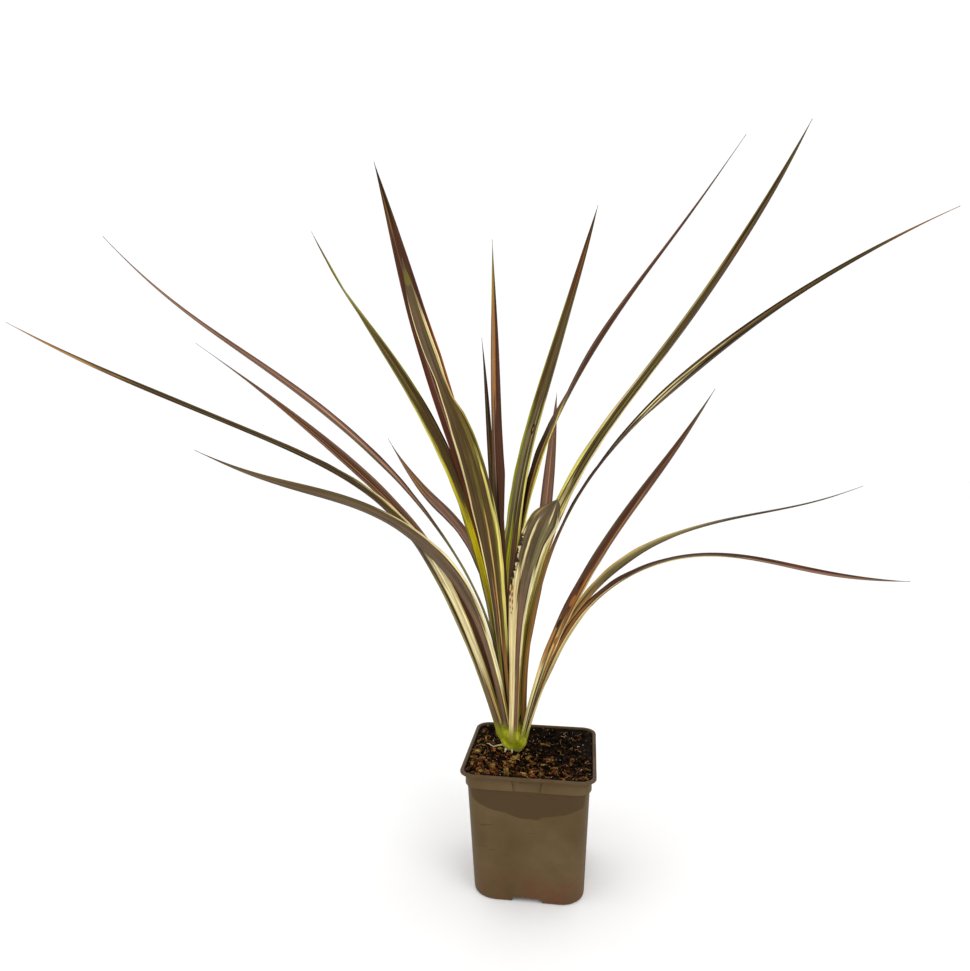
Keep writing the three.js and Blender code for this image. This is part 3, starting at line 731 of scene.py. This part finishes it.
def blade_section(shape, t, centre, fold, halves):
    """Points over the upper face, then under it, from one edge to the other."""
    _, across, face = blade_frame(shape, t)
    ripple = RIPPLE * math.sin(math.pi * clamp(t * 1.6))
    upper, under = [], []
    for u in np.linspace(-1, 1, BLADE_COLUMNS):
        half = halves[0] if u < 0 else halves[1]
        valley = math.sqrt(u * u + RIB_ROUND ** 2) - RIB_ROUND
        phase = t * shape.length / (RIPPLE_LENGTH + 1.5 * u) + shape.side * (1 + u)
        rise = half * (valley * math.sin(fold) + ripple * u * u * math.sin(phase))
        thick = lerp(RIB_THICK, EDGE_THICK, min(1, abs(u) * 1.2)) * clamp(half / 2, 0.3, 1)
        upper.append(centre + across * (u * half * math.cos(fold)) + face * rise)
        under.append(upper[-1] - face * thick)
    return upper + under


def leaf_sections(shape):
    """The sheath, which clasps the stem and sinks into it, then the blade. Each section is (its
    distance from the root of the blade, as a share of the leaf's length, its points)."""
    sections = []
    for ring in range(SHEATH_RINGS, 0, -1):
        share = ring / SHEATH_RINGS
        drop = ring * SHEATH_RING_HEIGHT
        outside = lerp(LEAF_SEAT, -SHEATH_SINK, share ** 1.5)
        centre = crown_point(shape.side, shape.base - drop, outside)
        fold = math.radians(lerp(ROOT_FOLD, SHEATH_FOLD, smoothstep(share * 1.5)))
        halves = [half * lerp(1, SHEATH_FLARE, share) for half in blade_halves(shape, 0)]
        sections.append((drop / shape.length, blade_section(shape, 0, centre, fold, halves)))
    for i, centre in enumerate(blade_midline(shape)):
        t = i / BLADE_STEPS
        fold = math.radians(lerp(ROOT_FOLD, shape.fold, smoothstep(t / CLASP)))
        sections.append((t, blade_section(shape, t, centre, fold, blade_halves(shape, t))))
    return sections


def blade_faces(count):
    """The faces over so many sections, each with whether it is on the under side."""
    n = BLADE_COLUMNS
    faces = []
    for r in range(count - 1):
        a, b = r * 2 * n, (r + 1) * 2 * n
        for c in range(n - 1):
            faces.append(((a + c, a + c + 1, b + c + 1, b + c), False))
            faces.append(((b + n + c, b + n + c + 1, a + n + c + 1, a + n + c), True))
        faces.append(((a, b, b + n, a + n), False))
        faces.append(((b + n - 1, a + n - 1, a + 2 * n - 1, b + 2 * n - 1), False))
    end = (count - 1) * 2 * n
    for c in range(n - 1):
        faces.append(((c + 1, c, n + c, n + c + 1), False))
        faces.append(((end + c, end + c + 1, end + n + c + 1, end + n + c), False))
    return faces


def make_leaf(number, shape, colours):
    name = f"leaf_{number:02d}"
    sections = leaf_sections(shape)
    points = [point for _, section in sections for point in section]
    faces, uvs = [], []
    for face, is_under in blade_faces(len(sections)):
        faces.append(face)
        for index in face:
            share = sections[index // (2 * BLADE_COLUMNS)][0]
            x = (index % BLADE_COLUMNS) / (BLADE_COLUMNS - 1)
            uvs.append((x, 2 - share if is_under else share))
    blade = make_piece(f"{name}_blade", (points, faces), [leaf_material(name, shape, colours)],
                       uvs=uvs, sharp=50)
    finish_piece(blade, colours.slot, name)


def body_width(z):
    return lerp(BASE_WIDTH, BODY_TOP_WIDTH, z / COLLAR_FOOT)


def body_corner(z):
    return lerp(BASE_CORNER, RIM_CORNER, z / COLLAR_FOOT)


def break_half(z):
    """Half the width of the collar's break, or of the notch, at a height."""
    half = BREAK_WIDTH / 2
    if z < NOTCH_HEIGHT:
        return half + NOTCH_FLARE * (1 - z / NOTCH_HEIGHT)
    return half + BREAK_SLANT * clamp((z - COLLAR_FOOT) / COLLAR_DROP)


def pot_ring(z, width, middle_width, corner):
    """A square ring, where the middle of each side has a width of its own."""
    half = break_half(z)
    outside = [lerp(half + BREAK_EDGE, width / 2 - corner, f) for f in (1, 0.66, 0.33, 0)]
    places = [(-x, width) for x in outside] + [(half * f, middle_width) for f in (-1, -0.5, 0, 0.5, 1)]
    return square_ring(z, width, corner, places + [(x, width) for x in reversed(outside)])


def pot_material():
    s = Shader("pot_plastic")
    place = s.place()
    x, y, z = s.separate(place)
    clouds = s.noise(place, 0.028, 4, 0.55)
    colour = s.ramp(clouds, [(0.3, POT_DARK), (0.52, POT_MIDDLE), (0.75, POT_LIGHT)])

    # Painted shadow of the collar: a dark crescent under it, at the front
    offset = s.minus(x, CRESCENT_MIDDLE)
    arc = s.plus(s.times(offset, offset, CRESCENT_CURVE), CRESCENT_FOOT)
    wobble = s.times(s.minus(s.noise(place, 0.055, 2), 0.5), 8)
    above_arc = s.span(s.plus(s.minus(z, arc), wobble), -0.5, 0.5)
    front = s.span(y, -38, -36, 1.0, 0.0)
    under_collar = s.span(z, COLLAR_FOOT - 0.3, COLLAR_FOOT + 0.1, 1.0, 0.0)
    colour = s.mix(s.times(above_arc, front, under_collar, 0.85), colour, POT_SHADE)

    # Red-brown dirt round the foot, and dark scuffs
    low = s.span(z, 2, 28, 1.0, 0.0)
    dirt = s.span(s.noise(place, 0.06, 5, 0.65), 0.42, 0.58)
    colour = s.mix(s.times(low, dirt, 0.75), colour, POT_DIRT)
    scuff = s.noise(s.scaled(place, (0.04, 0.04, 0.26)), 1.0, 3, 0.6)
    colour = s.mix(s.span(scuff, 0.66, 0.72, 0.0, 0.6), colour, POT_SCUFF)

    # The rim: a painted highlight, uneven, along its top; darker at its side; and darker blotches at its
    # right end
    highlight_patches = s.span(s.noise(s.scaled(place, (0.3, 0.3, 0.09)), 1.0, 2), 0.45, 0.6, 0.1, 0.5)
    rim_top = s.span(z, POT_HEIGHT - 1.2, POT_HEIGHT - 0.2)
    colour = s.mix(s.times(rim_top, highlight_patches), colour, RIM_HIGHLIGHT)
    on_rim = s.span(z, RIM_FOOT - 0.5, RIM_FOOT + 0.2)
    colour = s.mix(s.times(on_rim, 0.4), colour, RIM_DARK)
    # Darker blotches at the rim's right end.
    right_end = s.span(x, RIM_WIDTH / 2 - 3.5, RIM_WIDTH / 2 - 0.5)
    right_blotches = s.span(s.noise(place, 0.06, 3), 0.4, 0.6)
    colour = s.mix(s.times(right_end, on_rim, right_blotches, 0.7), colour, RIM_RIGHT_DARK)

    height = s.plus(s.noise(place, 0.9, 3, 0.6), s.times(scuff, 0.6))
    gloss = s.span(clouds, 0.35, 0.7, 0.48, 0.62)
    return s.finish(colour, gloss, height, 0.2, 0.12, Specular_IOR_Level=0.14)


def make_pot():
    """The shell, skinned from the underside up its outside, over the rim and down its inside."""
    collar = BODY_TOP_WIDTH + 2 * COLLAR_PROUD
    notch_back = BASE_WIDTH - 2 * NOTCH_DEPTH
    rings = []

    def add(z, width, middle=None, corner=RIM_CORNER):
        rings.append(pot_ring(z, width, middle or width, corner))

    for share in (0, 0.35, 0.7, 1):
        angle = share * math.pi / 2
        inset = HEEL * (1 - math.sin(angle))
        add(HEEL * (1 - math.cos(angle)), BASE_WIDTH - 2 * inset, notch_back, BASE_CORNER - inset)
    add(NOTCH_HEIGHT - 0.05, body_width(NOTCH_HEIGHT), notch_back, body_corner(NOTCH_HEIGHT))
    for z in (NOTCH_HEIGHT, *BODY_RINGS, COLLAR_FOOT - 0.1):
        add(z, body_width(z), None, body_corner(z))
    for rise, out in ((0, 0.5), (0.15, 0.85), (0.5, 1)):
        add(COLLAR_FOOT + rise, lerp(BODY_TOP_WIDTH, collar, out), BODY_TOP_WIDTH)
    add(RIM_FOOT - 4, collar, BODY_TOP_WIDTH)
    add(RIM_FOOT - 0.1, collar, BODY_TOP_WIDTH)
    add(RIM_FOOT, collar + 0.8)
    add(RIM_FOOT + 0.15, RIM_WIDTH - 0.6)
    add(RIM_FOOT + 0.5, RIM_WIDTH)
    add(POT_HEIGHT - 0.7, RIM_WIDTH)
    add(POT_HEIGHT - 0.2, RIM_WIDTH - 0.5, None, RIM_CORNER - 0.25)
    add(POT_HEIGHT, RIM_WIDTH - 1.4, None, RIM_CORNER - 0.7)
    add(POT_HEIGHT, RIM_INNER_WIDTH + 1, None, RIM_INNER_CORNER + 0.5)
    add(POT_HEIGHT - 0.3, RIM_INNER_WIDTH, None, RIM_INNER_CORNER)
    add(RIM_FOOT + 0.4, RIM_INNER_WIDTH - 0.6, None, RIM_INNER_CORNER)
    add(RIM_FOOT + 0.2, INNER_TOP_WIDTH, None, RIM_INNER_CORNER)
    add(COLLAR_FOOT, INNER_TOP_WIDTH, None, RIM_INNER_CORNER)
    for z in (COLLAR_FOOT - 1, 40, FLOOR):
        add(z, body_width(z) - 2 * WALL, None, body_corner(z) - WALL)
    pot = make_piece("pot_shell", skin_rings(rings), [pot_material()], sharp=35)
    for side in range(4):
        cut_drain(pot, side)
    finish_piece(pot, "pot_plastic", "pot")


def cut_drain(pot, side):
    """One round hole through the floor of the pot."""
    turn = quarter_turn(side)
    centre = Vector((DRAIN_OFFSET, DRAIN_OFFSET, 0))
    rings = [[turn @ (centre + p) for p in circle(DRAIN_RADIUS, DRAIN_SIDES, z)]
             for z in (-3, FLOOR + 3)]
    cutter = make_piece(f"drain_cutter_{side}", skin_rings(rings), [])
    cut = pot.modifiers.new("drain", "BOOLEAN")
    cut.operation = "DIFFERENCE"
    cut.object = cutter
    cut.solver = "EXACT"
    graph = bpy.context.evaluated_depsgraph_get()
    cut_mesh = bpy.data.meshes.new_from_object(pot.evaluated_get(graph))
    pot.modifiers.remove(cut)
    pot.data = cut_mesh
    bpy.data.objects.remove(cutter)


def soil_height(x, y):
    """Height of the soil: low waves of a few sizes, lower beside the wall."""
    share = max(abs(x), abs(y)) / (BODY_TOP_WIDTH / 2)
    waves = (1.1 * math.sin(0.21 * x + 0.6) * math.cos(0.17 * y - 0.4)
             + 0.8 * math.sin(0.53 * x - 0.31 * y + 1.3)
             + 0.6 * math.cos(0.83 * y + 0.47 * x)
             + 0.4 * math.sin(0.97 * x + 0.9) * math.sin(0.89 * y - 0.7))
    return SOIL_LEVEL + waves * (1 - 0.5 * share) - 1.5 * share ** 6


def crumb_height(x, y):
    """The soil's waves with fine crumbs on them, heaped at the back right and even at the rim."""
    coarse = noise.noise(Vector((x * 0.35, y * 0.35, 3.1)))
    fine = noise.noise(Vector((x * 1.1, y * 1.1, 7.7)))
    share = max(abs(x), abs(y)) / (RIM_INNER_WIDTH / 2)
    heap = 1.4 * clamp(x / 30) * clamp(y / 30)
    inside = soil_height(x, y) + SOIL_LIFT + (1.2 * coarse + 0.7 * fine + heap) * (1 - share ** 8)
    beside_rim = SOIL_LEDGE + 0.4 + 0.25 * fine
    return lerp(inside, max(inside, beside_rim), smoothstep((share - 0.84) / 0.06))


def on_crumbs(x, y, above=0):
    return Vector((x, y, crumb_height(x, y) + above))


def soil_ring(z, width, corner):
    end = width / 2 - corner
    places = [(lerp(-end, end, i / SOIL_SIDE_STEPS), width) for i in range(SOIL_SIDE_STEPS + 1)]
    return square_ring(z, width, corner, places)


def soil_material(name, dark, middle, light, roughness=0.85):
    s = Shader(name)
    place = s.place()
    speckle = s.noise(place, 0.9, 5, 0.7)
    clumps = s.noise(place, 0.22, 4, 0.6)
    blend = s.plus(s.times(speckle, 0.6), s.times(clumps, 0.4))
    colour = s.ramp(blend, [(0.38, dark), (0.52, middle), (0.64, light)])
    wetness = s.span(speckle, 0.3, 0.7, roughness, roughness - 0.3)
    return s.finish(colour, wetness, s.plus(speckle, clumps), 0.8, 0.5, Specular_IOR_Level=0.02)


def make_soil():
    """The soil fills the pot, with a step out into the wider rim."""
    inset = WALL + SOIL_GAP
    rings = [soil_ring(z, body_width(z) - 2 * inset, body_corner(z) - inset)
             for z in (FLOOR + SOIL_GAP, COLLAR_FOOT)]
    rings.append(soil_ring(SOIL_LEDGE, INNER_TOP_WIDTH - 0.4, RIM_INNER_CORNER))
    edge = soil_ring(SOIL_LEDGE + 0.2, RIM_INNER_WIDTH - 0.8, RIM_INNER_CORNER)
    for r in range(SOIL_RINGS, 0, -1):
        rings.append([on_crumbs(p.x * r / SOIL_RINGS, p.y * r / SOIL_RINGS) for p in edge])
    material = soil_material("peat", (3, 2, 1), (10, 6, 3), (58, 36, 18))
    finish_piece(make_piece("soil_bed", skin_rings(rings), [material]), "potting_mix", "soil")


def ball():
    """The points and faces of an icosahedron with each face split in four, on a ball of radius 1."""
    golden = (1 + math.sqrt(5)) / 2
    points = [Vector(corner).normalized() for a in (-1, 1) for b in (-golden, golden)
              for corner in ((a, b, 0), (0, a, b), (b, 0, a))]
    edges = [(a, b) for a, b in itertools.combinations(range(12), 2)
             if (points[a] - points[b]).length < 1.1]
    faces = []
    for a, b, c in itertools.combinations(range(12), 3):
        if {(a, b), (b, c), (a, c)} <= set(edges):
            ab, bc, ac = (12 + edges.index(edge) for edge in ((a, b), (b, c), (a, c)))
            split = [(a, ab, ac), (b, bc, ab), (c, ac, bc), (ab, bc, ac)]
            outward = points[a].cross(points[b]).dot(points[c]) > 0
            faces += split if outward else [face[::-1] for face in split]
    points += [(points[a] + points[b]).normalized() for a, b in edges]
    return points, faces


def lump(source, points, size, seed):
    """The points of a ball pushed in and out by noise, broken off flat on a few sides and turned."""
    flats = [Vector([source.gauss(0, 1) for _ in range(3)]).normalized() for _ in range(LUMP_FLATS)]
    turn = (Matrix.Rotation(source.uniform(0, math.tau), 3, "Z")
            @ Matrix.Rotation(source.uniform(-LUMP_TILT, LUMP_TILT), 3, "X"))
    shaped = []
    for p in points:
        push = 1 + LUMP_PUSH * noise.noise(p * 1.7 + Vector((seed, 0, 0)))
        for flat in flats:
            push = min(push, LUMP_FLAT_AT / max(p.dot(flat), 0.4))
        shaped.append(turn @ (p * Vector(size) * push))
    return shaped


def make_scatter(name, count, sizes, materials, seed, sink, crowding):
    """Many lumps lying on the soil, joined in one mesh. sizes are the spans of their half lengths.
    crowding is how likely one is to lie at the middle, how much likelier for each millimetre to
    the left and to the front, and the least."""
    source = random.Random(seed)
    ball_points, ball_faces = ball()
    middle, leftward, frontward, least = crowding
    lumps, which = [], []
    reach = RIM_INNER_WIDTH / 2 - SOIL_GAP
    while len(lumps) < count:
        x, y = source.uniform(-reach, reach), source.uniform(-reach, reach)
        size = [source.uniform(*span) for span in sizes]
        keep = source.random()
        pick = source.randrange(len(materials))
        room = reach - max(size)
        if max(abs(x), abs(y)) > room or abs(x) + abs(y) > 2 * room - CORNER_ROOM:
            continue
        if math.hypot(x - STEM[0], y - STEM[1]) < STEM_ROOM + size[0]:
            continue
        if keep > max(middle - leftward * x - frontward * y, least):
            continue
        centre = on_crumbs(x, y, size[2] * sink)
        shaped = lump(source, ball_points, size, len(lumps) * 3.7)
        lumps.append(([p + centre for p in shaped], ball_faces))
        which += [pick] * len(ball_faces)
    finish_piece(make_piece(name, join(lumps), materials, which, sharp=40), "potting_mix")


def make_chips():
    dark = soil_material("bark_dark", (10, 6, 2), (30, 18, 9), (72, 46, 24), 0.8)
    red = soil_material("bark_red", (26, 10, 4), (82, 42, 18), (170, 110, 62), 0.75)
    brown = soil_material("bark_brown", (22, 12, 4), (82, 54, 22), (184, 140, 84), 0.75)
    ochre = soil_material("bark_ochre", (44, 30, 8), (112, 84, 30), (204, 170, 104), 0.7)
    white = soil_material("perlite", (150, 146, 136), (196, 192, 182), (232, 230, 222), 0.8)
    make_scatter("bark_chips", 95, [(1.4, 3.6), (1.2, 2.6), (0.6, 1.3)], [red, brown, ochre],
                 seed=11, sink=0.25, crowding=(0.35, 0.011, 0.016, 0.02))
    make_scatter("bark_flakes", 230, [(0.9, 2.2), (0.7, 1.5), (0.4, 0.9)], [dark, red, brown],
                 seed=17, sink=0.25, crowding=(0.55, 0.008, 0.014, 0.1))
    make_scatter("bark_crumbs", 800, [(0.4, 1.1), (0.3, 0.8), (0.3, 0.7)], [dark, red, brown],
                 seed=23, sink=0.2, crowding=(0.55, 0.008, 0.014, 0.1))
    # White perlite specks, many and tiny, which also serve as painted glints of wet soil.
    make_scatter("perlite_and_glint_specks", 110, [(0.2, 0.6), (0.2, 0.4), (0.15, 0.4)], [white],
                 seed=37, sink=0.5, crowding=(1, 0, 0, 1))


def make_fibres():
    """Thin pale fibres that curve over the crumbs, away from the stem."""
    source = random.Random(5)
    reach = BODY_TOP_WIDTH / 2 - 5
    fibres = []
    for _ in range(FIBRES):
        x, y = source.uniform(-reach, reach), source.uniform(-reach, reach)
        heading, bend = source.uniform(0, math.tau), source.uniform(-1.6, 1.6)
        length = source.uniform(3, 8)
        if math.hypot(x - STEM[0], y - STEM[1]) < 10 + length:
            continue
        path = []
        for i in range(TRAIL_STEPS + 1):
            t = i / TRAIL_STEPS
            angle = heading + bend * t
            x = clamp(x + math.cos(angle) * length / TRAIL_STEPS, -reach - 2, reach + 2)
            y = clamp(y + math.sin(angle) * length / TRAIL_STEPS, -reach - 2, reach + 2)
            path.append(on_crumbs(x, y, 0.5 + 0.8 * math.sin(math.pi * t)))
        fibres.append(tube(path, [FIBRE_RADIUS] * len(path), 6))
    material = soil_material("fibre", (92, 66, 34), (150, 118, 70), (206, 178, 128), 0.7)
    finish_piece(make_piece("soil_fibres", join(fibres), [material]), "potting_mix")


def crown_material():
    s = Shader("crown_green")
    place = s.place()
    z = s.separate(place)[2]
    streak = s.noise(s.scaled(place, (0.9, 0.9, 0.04)), 1.0, 3, 0.6)
    cloud = s.noise(place, 0.12)
    colour = s.ramp(cloud, [(0.35, CROWN_DARK), (0.5, CROWN_MIDDLE), (0.66, CROWN_LIGHT)])
    colour = s.shade(colour, s.span(streak, 0.3, 0.7, 0.82, 1.18, smooth=False))
    colour = s.mix(s.span(z, CROWN_OPEN, CROWN_OPEN + 6, 0.6, 0.0), colour, CROWN_PALE)
    # Painted shade: the crown fades to dark above 100 mm, in the gaps among the leaf bases.
    colour = s.mix(s.span(z, 100, 110), colour, DARK)
    return s.finish(colour, s.span(streak, 0.3, 0.7, 0.35, 0.5), streak, 0.3, 0.3,
                    Specular_IOR_Level=0.12)


def make_crown():
    """The stem, whose wrapped sheaths overlap each other in slanting steps above the soil."""
    rings = []
    for z in [*range(CROWN_FOOT, CROWN_OPEN, 4), *range(CROWN_OPEN, CROWN_TOP + 1)]:
        step = SHEATH_STEP * clamp((z - CROWN_OPEN) / 6) * clamp((SHEATH_STEP_TOP - z) / 6)
        bulge = CROWN_BULGE * smoothstep((z - CROWN_OPEN) / 5) * smoothstep((CROWN_BULGE_TOP - z) / 10)
        ring = []
        for i in range(CROWN_SPOKES):
            share = i / CROWN_SPOKES
            turn = (share * SHEATH_COUNT + z * SHEATH_TURN) % 1
            relief = step * (smoothstep(turn * 1.08) - smoothstep((turn - 0.93) / 0.07))
            ring.append(crown_point(360 * share, z, relief + bulge))
        rings.append(ring)
    crown = make_piece("crown_sheaths", skin_rings(rings), [crown_material()])
    finish_piece(crown, "crown_green", "crown")


def make_roots():
    """Pale roots at the foot of the stem: a thin one lying on the soil and two short stubs."""
    roots = []
    for angle, reach, bend, radius in ROOTS:
        path, radii = [], []
        for i in range(TRAIL_STEPS + 1):
            t = i / TRAIL_STEPS
            p = round_stem(lerp(6, reach, t), angle + bend * t, 0)
            path.append(on_crumbs(p.x, p.y, lerp(1.6, 0.7, t)))
            radii.append(lerp(radius, 0.3, t))
        roots.append(tube(path, radii))
    material = soil_material("root", (150, 140, 96), (196, 186, 140), (224, 218, 186), 0.6)
    finish_piece(make_piece("surface_roots", join(roots), [material]), "crown_green")


def make_floor():
    s = Shader("floor")
    mottle = s.noise(s.place(), 0.006, 4)
    colour = s.ramp(mottle, [(0.3, (252, 252, 252)), (0.7, (255, 255, 255))])
    material = s.finish(colour, s.span(mottle, 0.3, 0.7, 0.82, 0.9), mottle, 0.05, 0.2)
    slab = skin_rings([circle(STUDIO_RADIUS, 96, z) for z in (-10, -0.2)])
    make_piece("studio_floor", slab, [material], sharp=30)


def aim(thing, place, direction):
    """Puts a lamp or the camera at a place, looking along a direction."""
    thing.location = Vector(place) * MM
    thing.rotation_mode = "QUATERNION"
    thing.rotation_quaternion = direction.to_track_quat("-Z", "Y")
    bpy.context.scene.collection.objects.link(thing)


def make_lamp(name, place, power):
    light = bpy.data.lights.new(name, "AREA")
    light.shape = "DISK"
    light.size = LAMP_SIZE * MM
    light.energy = power
    direction = (Vector(LAMP_TARGET) - Vector(place)).normalized()
    aim(bpy.data.objects.new(name, light), place, direction)


def make_world():
    """A white surround, as in a light tent."""
    world = bpy.data.worlds.new("studio")
    world.use_nodes = True
    background = world.node_tree.nodes["Background"]
    background.inputs["Color"].default_value = (1, 1, 1, 1)
    background.inputs["Strength"].default_value = WORLD_STRENGTH
    bpy.context.scene.world = world


def make_camera():
    azimuth, elevation = math.radians(CAMERA_AZIMUTH - 90), math.radians(CAMERA_ELEVATION)
    back = polar(math.cos(elevation), azimuth, math.sin(elevation))
    camera = bpy.data.objects.new("camera", bpy.data.cameras.new("camera"))
    camera.data.lens = CAMERA_LENS
    camera.data.sensor_width = 36
    camera.data.clip_start = 0.01
    aim(camera, Vector(CAMERA_TARGET) + back * CAMERA_DISTANCE, -back)
    bpy.context.scene.camera = camera


make_pot()
make_soil()
make_chips()
make_fibres()
make_crown()
make_roots()
for number, (shape, colours) in enumerate(zip(LEAVES, LOOKS), start=1):
    make_leaf(number, shape, colours)

make_floor()
make_world()
for name, (place, power) in LAMPS.items():
    make_lamp(name, place, power)
make_camera()
bpy.context.scene.view_settings.view_transform = "Standard"
